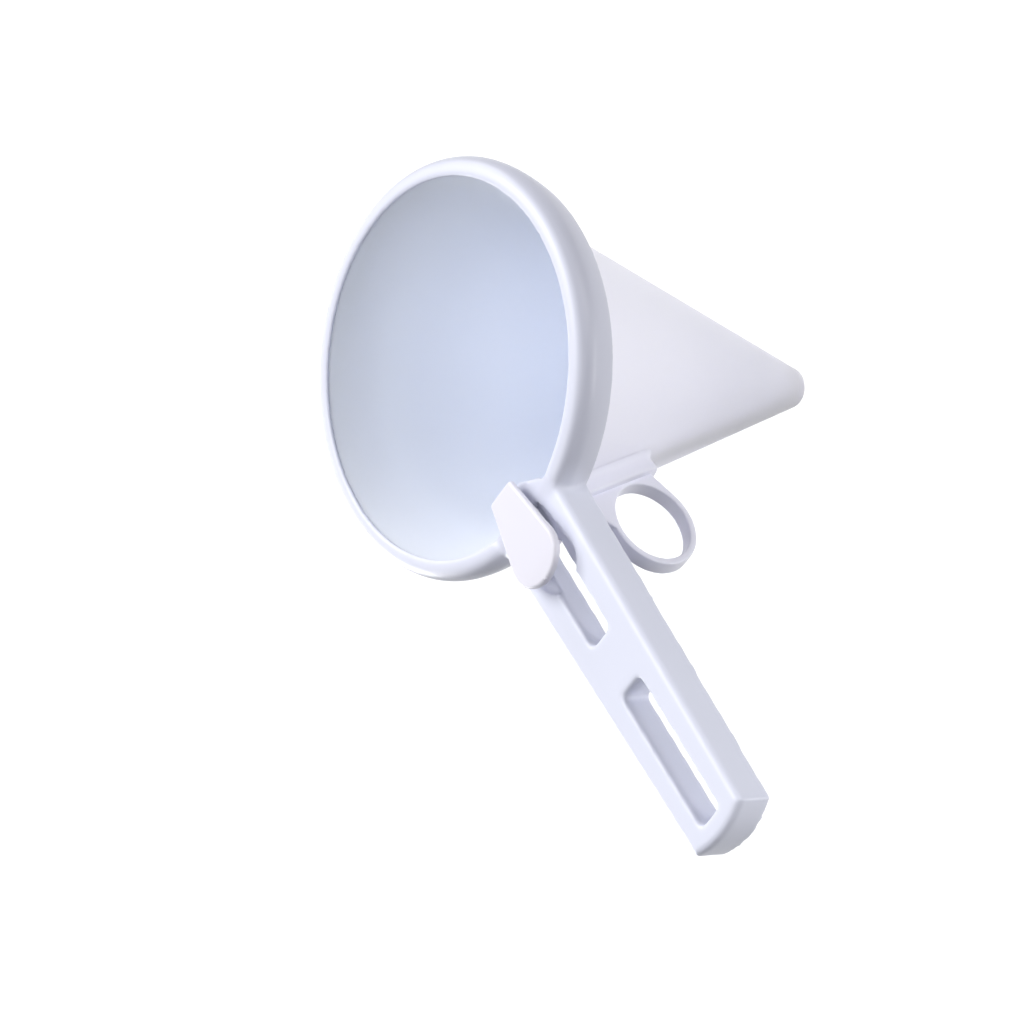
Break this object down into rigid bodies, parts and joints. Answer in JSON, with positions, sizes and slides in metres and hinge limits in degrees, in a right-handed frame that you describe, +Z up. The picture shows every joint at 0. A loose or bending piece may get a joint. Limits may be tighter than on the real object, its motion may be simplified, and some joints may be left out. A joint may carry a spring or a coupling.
{
  "type": "hand-held batter dispenser",
  "caption": "Cone hopper in a broad rim with a hollow slotted handle, an oval finger ring, and a sliding thumb button that opens the outlet.",
  "frame": {"origin": "centre of the outlet's lower end, at the tip of the hopper", "axes": "+Z up the hopper's axis towards the rim, +X towards the handle, +Y to the left of the handle seen from its end"},
  "size_m": [0.211, 0.11, 0.1244],
  "materials": {
    "frame_plastic": "satin white polypropylene with a faint blue cast",
    "hopper_plastic": "satin white polypropylene with a faint lilac cast",
    "button_plastic": "smooth satin white plastic with a faint pink cast",
    "strip_plastic": "plain flexible white polypropylene"
  },
  "bodies": {
    "funnel": {"handle_frame": "frame_plastic", "hopper_cone": "hopper_plastic", "finger_ring": "hopper_plastic", "strip_bend": "strip_plastic"},
    "slider": {"thumb_button": "button_plastic", "slide_keeper": "button_plastic", "strip_upper": "strip_plastic"},
    "valve": {"strip_lower": "strip_plastic", "stopper": "button_plastic"}
  },
  "joints": [
    {"name": "button_slide", "type": "slide", "parent": "funnel", "child": "slider", "axis": [0.9972, 0, -0.075], "range_m": [0, 0.032], "deforming": ["strip_bend"]},
    {"name": "valve_slide", "type": "slide", "parent": "funnel", "child": "valve", "axis": [0.3446, 0, 0.9387], "range_m": [0, 0.032]}
  ],
  "couplings": [
    {"joint": "valve_slide", "follows": "button_slide", "ratio": 1}
  ]
}
